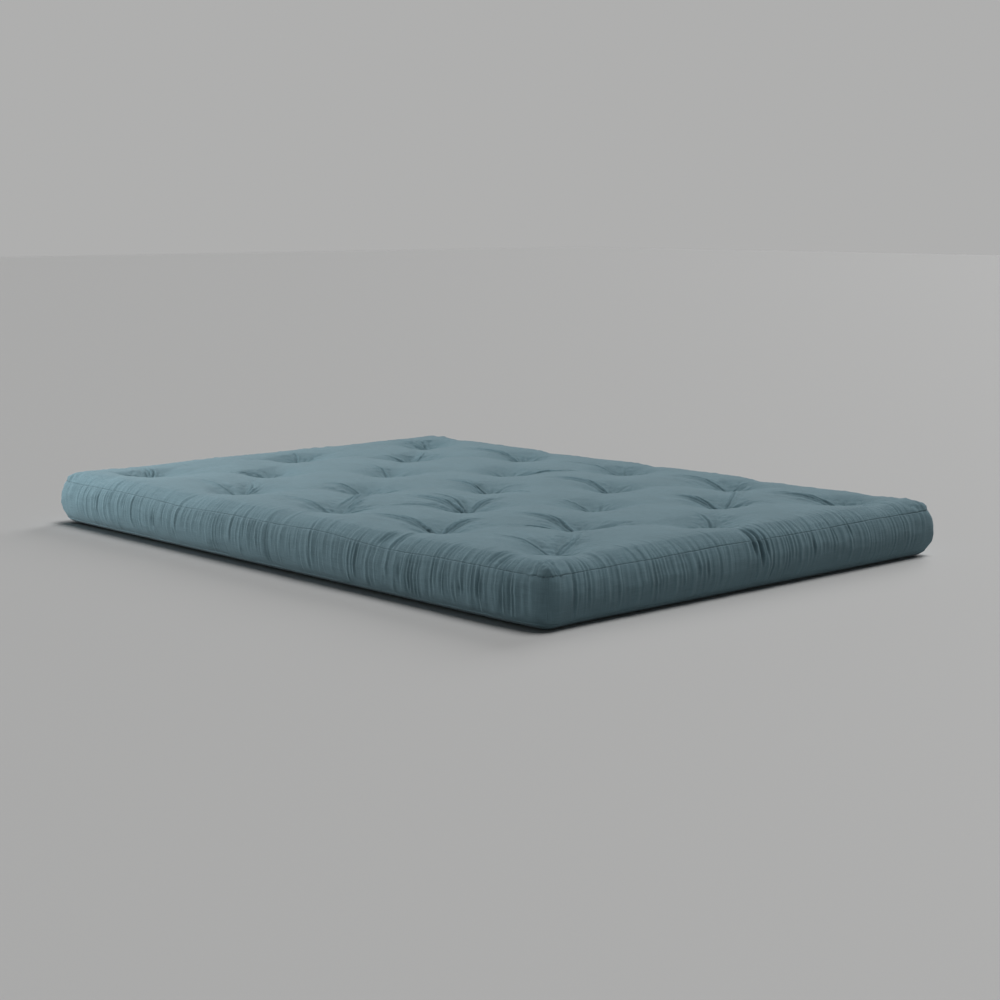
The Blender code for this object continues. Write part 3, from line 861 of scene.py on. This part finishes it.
def cover_cloth(name, colour):
    """Matte cotton twill: slubby yarns both ways, a fine diagonal rib, and painted shade from the
    folds: darker in the creases and a little lighter on the ridges.
    """
    s = Shader(name)
    uv = s.nodes.new("ShaderNodeUVMap")
    uv.uv_map = "cloth"
    uv = uv.outputs[0]
    warp = s.noise(uv, (420, 26, 1))
    weft = s.noise(uv, (22, 380, 1))
    blotch = s.noise(uv, (8, 8, 1), 3)
    fine = s.noise(uv, (950, 950, 1), 1)
    tone = s.blend(((warp, .34), (weft, .30), (blotch, .24), (fine, .12)))
    # Painted shade from the folds' lift: the colour darkens in the creases and lightens a little
    # on the ridges.
    worn = s.nodes.new("ShaderNodeAttribute")
    worn.attribute_name = "lift"
    height = s.add("MapRange", Value=worn.outputs["Fac"])
    height.inputs["From Min"].default_value = -.004
    height.inputs["From Max"].default_value = .004
    height.inputs["To Min"].default_value = -.17
    height.inputs["To Max"].default_value = .06
    tone = s.math("ADD", tone, height.outputs[0])
    s.set(s.main.inputs["Base Color"],
          s.ramp(tone, ((.32, shade(colour, .84)), (.50, colour), (.68, shade(colour, 1.14)))))
    rough = s.add("MapRange", Value=tone)
    rough.inputs["To Min"].default_value = .98
    rough.inputs["To Max"].default_value = .82
    s.set(s.main.inputs["Roughness"], rough.outputs[0])
    s.main.inputs["Specular IOR Level"].default_value = .16
    s.main.inputs["Sheen Weight"].default_value = .08
    s.main.inputs["Sheen Roughness"].default_value = .5
    turned = s.add("Mapping", Vector=uv, Rotation=(0, 0, math.radians(45)))
    rib = s.add("TexWave", Vector=turned.outputs[0], Scale=330.0, Distortion=.6)
    s.bump(s.blend(((rib.outputs["Fac"], .30), (tone, 1.0))), .0012, .35)
    return s.material


def filling(name, colour, scale, depth):
    """Felt or foam: a cloudy, pitted mass."""
    s = Shader(name)
    place = s.nodes.new("ShaderNodeTexCoord").outputs["Object"]
    cloud = s.noise(place, (scale, scale, scale), 5)
    fibre = s.noise(place, (scale * 9, scale * 2, scale * 5), 2)
    tone = s.blend(((cloud, .6), (fibre, .4)))
    s.set(s.main.inputs["Base Color"], s.ramp(tone, ((.3, shade(colour, .82)), (.7, colour))))
    s.main.inputs["Roughness"].default_value = 1
    s.main.inputs["Specular IOR Level"].default_value = .1
    s.bump(tone, depth, .6)
    return s.material


def yarn(name, colour, pitch):
    """Twisted thread or twine."""
    s = Shader(name)
    place = s.nodes.new("ShaderNodeTexCoord").outputs["Object"]
    turned = s.add("Mapping", Vector=place, Rotation=(.6, .7, .5))
    twist = s.add("TexWave", Vector=turned.outputs[0], Scale=.3 / pitch, Distortion=1.5)
    fuzz = s.noise(place, (1800, 1800, 1800), 2)
    tone = s.blend(((twist.outputs["Fac"], .7), (fuzz, .3)))
    s.set(s.main.inputs["Base Color"],
          s.ramp(tone, ((.2, shade(colour, .72)), (.8, shade(colour, 1.15)))))
    s.main.inputs["Roughness"].default_value = .88
    s.main.inputs["Sheen Weight"].default_value = .1
    s.bump(tone, .0004, .7)
    return s.material


# ---- The pieces ----
def add_cover(name, node, points, across, along, lift, cloth, band=0):
    """One piece of the cover. A band is the number of rows at the edge that stay fine."""
    points = tuck_edges(points)
    across, along, lift = pad_edges(across), pad_edges(along), pad_edges(lift)
    n, m = lift.shape
    if band:
        faces = graded_faces(n, m, band, busy_blocks(lift, across, along, band))
    else:
        faces = grid_faces(n, m)
    piece = cloth_object(name, points, across, along, lift, faces)
    add_piece(piece, cloth, (node,))


def build_cover():
    """The six pieces of the cover. Returns the borders' seam lines for the threads."""
    xs, ys, top, border = base_cover(SIM_STEP, SIM_ROWS, SIM_EDGE_STEPS)
    top, border = simulate(top, border)
    sides = border_sides(top, border)
    cloth = cover_cloth("cover_twill", CLOTH_COLOUR)

    points, gx, gy, lift = top_surface(xs, ys, top)
    add_cover("cover_top_panel", "top_panel", points, gx, gy, lift, cloth, len(EDGE_STEPS))
    surfaces = {}
    for side in SIDES:
        s_old = xs if side in LONG_SIDES else ys
        surfaces[side], s, t, lift = border_surface(side, s_old, sides[side])
        add_cover(f"cover_border_{side}", f"border_{side}", surfaces[side], s,
                  t * BORDER_HEIGHT, lift, cloth)
    points, gx, gy = underside_surface()
    add_cover("cover_bottom_panel", "bottom_panel", points, gx, gy, gx * 0, cloth)
    return surfaces


def add_thread(name, points, closed, replaced, material):
    curve = bpy.data.curves.new(name, "CURVE")
    curve.dimensions = "3D"
    curve.bevel_depth = .00042
    curve.bevel_resolution = 1
    curve.use_fill_caps = True
    spline = curve.splines.new("POLY")
    spline.points.add(len(points) - 1)
    flat = np.concatenate([points, np.ones((len(points), 1))], axis=1)
    spline.points.foreach_set("co", flat.reshape(-1))
    spline.points.foreach_set("radius", np.tile([1.0, .8], len(points))[:len(points)])
    spline.use_cyclic_u = closed
    add_piece(add_object(name, curve), material, (replaced,))


def build_threads(surfaces):
    """Threads that lie in the seams' grooves."""
    material = yarn("seam_thread", (.085, .142, .163), .0012)
    normals = {side: normals_of(surfaces[side]) for side in SIDES}
    for name, row in (("top", -1), ("bottom", 0)):
        path = np.concatenate([(surfaces[side] - normals[side] * .0004)[:-1, row]
                               for side in SIDES])
        add_thread(f"thread_{name}_seam", path, True, f"{name}_seam_thread", material)
    ends = (("front", "front_right"), ("right", "back_right"), ("back", "back_left"),
            ("left", "front_left"))
    for side, corner in ends:
        path = (surfaces[side] - normals[side] * .0004)[-1, 1:-1]
        add_thread(f"thread_corner_{corner}", path, False, f"corner_seam_thread_{corner}",
                   material)


def add_layer(name, low, high, inset, material, under_cover=False, pits_below=False):
    """One layer of filling: a soft-edged slab, squeezed where the tufts are tied."""
    half_x, half_y = HALF_LENGTH - inset, HALF_WIDTH - inset
    xs = stations(half_x, COLUMNS, FILLING_STEP, FILLING_EDGE_STEPS)
    ys = stations(half_y, ROWS, FILLING_STEP, FILLING_EDGE_STEPS)
    gx, gy = np.meshgrid(xs, ys, indexing="ij")
    x, y = round_corner(gx, gy, half_x, half_y, .03)
    edge = np.minimum(half_x - np.abs(gx), half_y - np.abs(gy))
    soft = 1 - smoothstep(edge / .012)
    middle, half = (low + high) / 2, (high - low) / 2
    free = 1 - hill(tuft_distance(gx, gy), 0, .09)
    upper = middle + half * (1 - .7 * soft)
    lower = middle - half * (1 - .7 * soft)
    if under_cover:
        upper = np.minimum(filling_height(gx, gy) - COVER_CLEARANCE, high)
        upper -= half * soft
        squeezed = PIT_TOP - .005
        upper = np.minimum(upper, squeezed + (high - squeezed) * free)
    if pits_below:
        squeezed = PIT_BOTTOM + .005
        lower = np.maximum(lower, squeezed + (low - squeezed) * free)
    n, m = gx.shape
    count = n * m
    points = np.concatenate([np.stack([x, y, upper], axis=2).reshape(-1, 3),
                             np.stack([x, y, lower], axis=2).reshape(-1, 3)])
    index = np.arange(count).reshape(n, m)
    quads = all_cells(index).reshape(-1, 4)
    rim = rim_of(index)
    wall = np.stack([rim, rim + count, np.roll(rim, -1) + count, np.roll(rim, -1)], axis=1)
    mesh = bpy.data.meshes.new(name)
    mesh.from_pydata(points.tolist(), [],
                     np.concatenate([quads, quads[:, ::-1] + count, wall]).tolist())
    mesh.polygons.foreach_set("use_smooth", np.ones(len(mesh.polygons), bool))
    layer = add_object("filling_" + name, mesh)
    add_piece(layer, material, (name,))


def build_filling():
    """The five layers, with each one's underside and top in metres."""
    felt = filling("cotton_felt", (.76, .735, .67), 60, .002)
    foam = filling("core_foam", (.80, .74, .56), 240, .0008)
    inset = .017
    add_layer("upper_felt_outer", .1085, .1380, .032, felt, under_cover=True)
    add_layer("upper_felt_inner", .0970, .1085, inset, felt)
    add_layer("foam_core", .0455, .0965, inset, foam)
    add_layer("lower_felt_inner", .0300, .0450, inset, felt)
    add_layer("lower_felt_outer", .0040, .0295, .030, felt, pits_below=True)


def finish_ties():
    twine = yarn("tuft_twine", (.135, .185, .200), .0016)
    for name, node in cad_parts.items():
        if name.startswith("tuft_tie"):
            node.data.materials.clear()
            node.data.materials.append(twine)
            node.data.polygons.foreach_set("use_smooth",
                                           np.ones(len(node.data.polygons), bool))


# ---- Floor, light and camera ----
SOFTBOXES = (("left_softbox", (-1.9, -1.9, .85), (-1, -.6, .1), 1.0, 45),
             ("left_high", (-2.4, -.3, 1.8), (-1, 0, .1), 1.2, 14),
             ("back", (1.0, 2.4, 1.6), (.9, .4, .1), 1.2, 14),
             ("front_fill", (1.0, -2.5, .7), (.7, -.7, .05), 1.0, 2.5))


def add_floor():
    """The floor. Returns the collection of what the softboxes pass over, which holds it."""
    mesh = bpy.data.meshes.new("floor")
    size = 30
    mesh.from_pydata([(-size, -size, 0), (size, -size, 0), (size, size, 0), (-size, size, 0)],
                     [], [(0, 1, 2, 3)])
    floor = add_object("floor", mesh)
    floor.location.z = -.0006
    s = Shader("floor_paint")
    s.main.inputs["Base Color"].default_value = (.55, .55, .546, 1)
    s.main.inputs["Roughness"].default_value = .8
    mesh.materials.append(s.material)
    passed_over = bpy.data.collections.new("passed_over_by_softboxes")
    passed_over.objects.link(floor)
    passed_over.collection_objects[0].light_linking.link_state = "EXCLUDE"
    return passed_over


def add_area_light(passed_over, name, place, target, size, power):
    """A softbox that lights the mattress and leaves the floor evenly lit."""
    data = bpy.data.lights.new(name, "AREA")
    data.shape = "SQUARE"
    data.size = size
    data.energy = power
    light = add_object(name, data)
    light.light_linking.receiver_collection = passed_over
    light.location = place
    light.rotation_euler = (Vector(place) - Vector(target)).to_track_quat("Z", "Y").to_euler()


def add_sun(name, azimuth, height, spread, power):
    """Light from far off. Azimuth 0 is -Y and 90 is +X, in degrees."""
    data = bpy.data.lights.new(name, "SUN")
    data.angle = math.radians(spread)
    data.energy = power
    light = add_object(name, data)
    a, e = math.radians(azimuth), math.radians(height)
    toward = Vector((math.sin(a) * math.cos(e), -math.cos(a) * math.cos(e), math.sin(e)))
    light.rotation_euler = toward.to_track_quat("Z", "Y").to_euler()


def add_backdrop(colour):
    """A pale horizon that goes on from the floor, fading to dark above the camera's view."""
    world = bpy.data.worlds.new("studio")
    bpy.context.scene.world = world
    world.use_nodes = True
    nodes, links = world.node_tree.nodes, world.node_tree.links
    place = nodes.new("ShaderNodeTexCoord")
    height = nodes.new("ShaderNodeSeparateXYZ")
    fade = nodes.new("ShaderNodeMapRange")
    links.new(place.outputs["Generated"], height.inputs[0])
    links.new(height.outputs["Z"], fade.inputs["Value"])
    fade.inputs["From Min"].default_value = math.sin(math.radians(7))
    fade.inputs["From Max"].default_value = math.sin(math.radians(14))
    fade.inputs["To Min"].default_value = 1
    fade.inputs["To Max"].default_value = .06
    background = nodes["Background"]
    background.inputs["Color"].default_value = (*colour, 1)
    links.new(fade.outputs[0], background.inputs["Strength"])


def add_studio():
    passed_over = add_floor()
    add_sun("key", 157, 73, 30, 1.76)
    add_sun("rim", 200, 27, 30, .95)
    for name, place, target, size, power in SOFTBOXES:
        add_area_light(passed_over, name, place, target, size, power)
    add_backdrop((.428, .428, .425))
    bpy.context.scene.view_settings.view_transform = "Standard"


def add_camera():
    data = bpy.data.cameras.new("camera")
    data.lens = 68.93
    data.sensor_width = 36
    camera = add_object("camera", data)
    camera.location = (3.84675, -3.41127, .88122)
    camera.rotation_euler = (math.radians(90 - 8.595), 0, math.radians(47.68))
    bpy.context.scene.camera = camera


build_threads(build_cover())
build_filling()
finish_ties()
add_studio()
add_camera()
